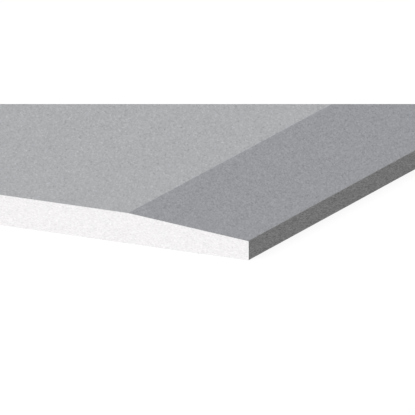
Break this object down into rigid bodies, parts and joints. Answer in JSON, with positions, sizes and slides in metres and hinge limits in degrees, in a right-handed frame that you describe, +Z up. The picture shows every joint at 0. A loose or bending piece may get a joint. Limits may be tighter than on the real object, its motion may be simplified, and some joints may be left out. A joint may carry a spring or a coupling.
{
  "type": "drywall sheet",
  "caption": "Flat paper-faced gypsum board with tapered long edges and square cut ends, fixed to framing as a wall or ceiling lining.",
  "frame": {"origin": "middle of the back face, on the surface that the sheet lies on", "axes": "+X across the width, +Y along the length and the tapered edges, +Z up out of the face"},
  "size_m": [1.2, 2.4, 0.0125],
  "materials": {
    "face_paper": "matt grey board paper over a white gypsum core that shows on the two cut ends"
  },
  "bodies": {
    "root": {"drywall_sheet": "face_paper"}
  },
  "joints": []
}
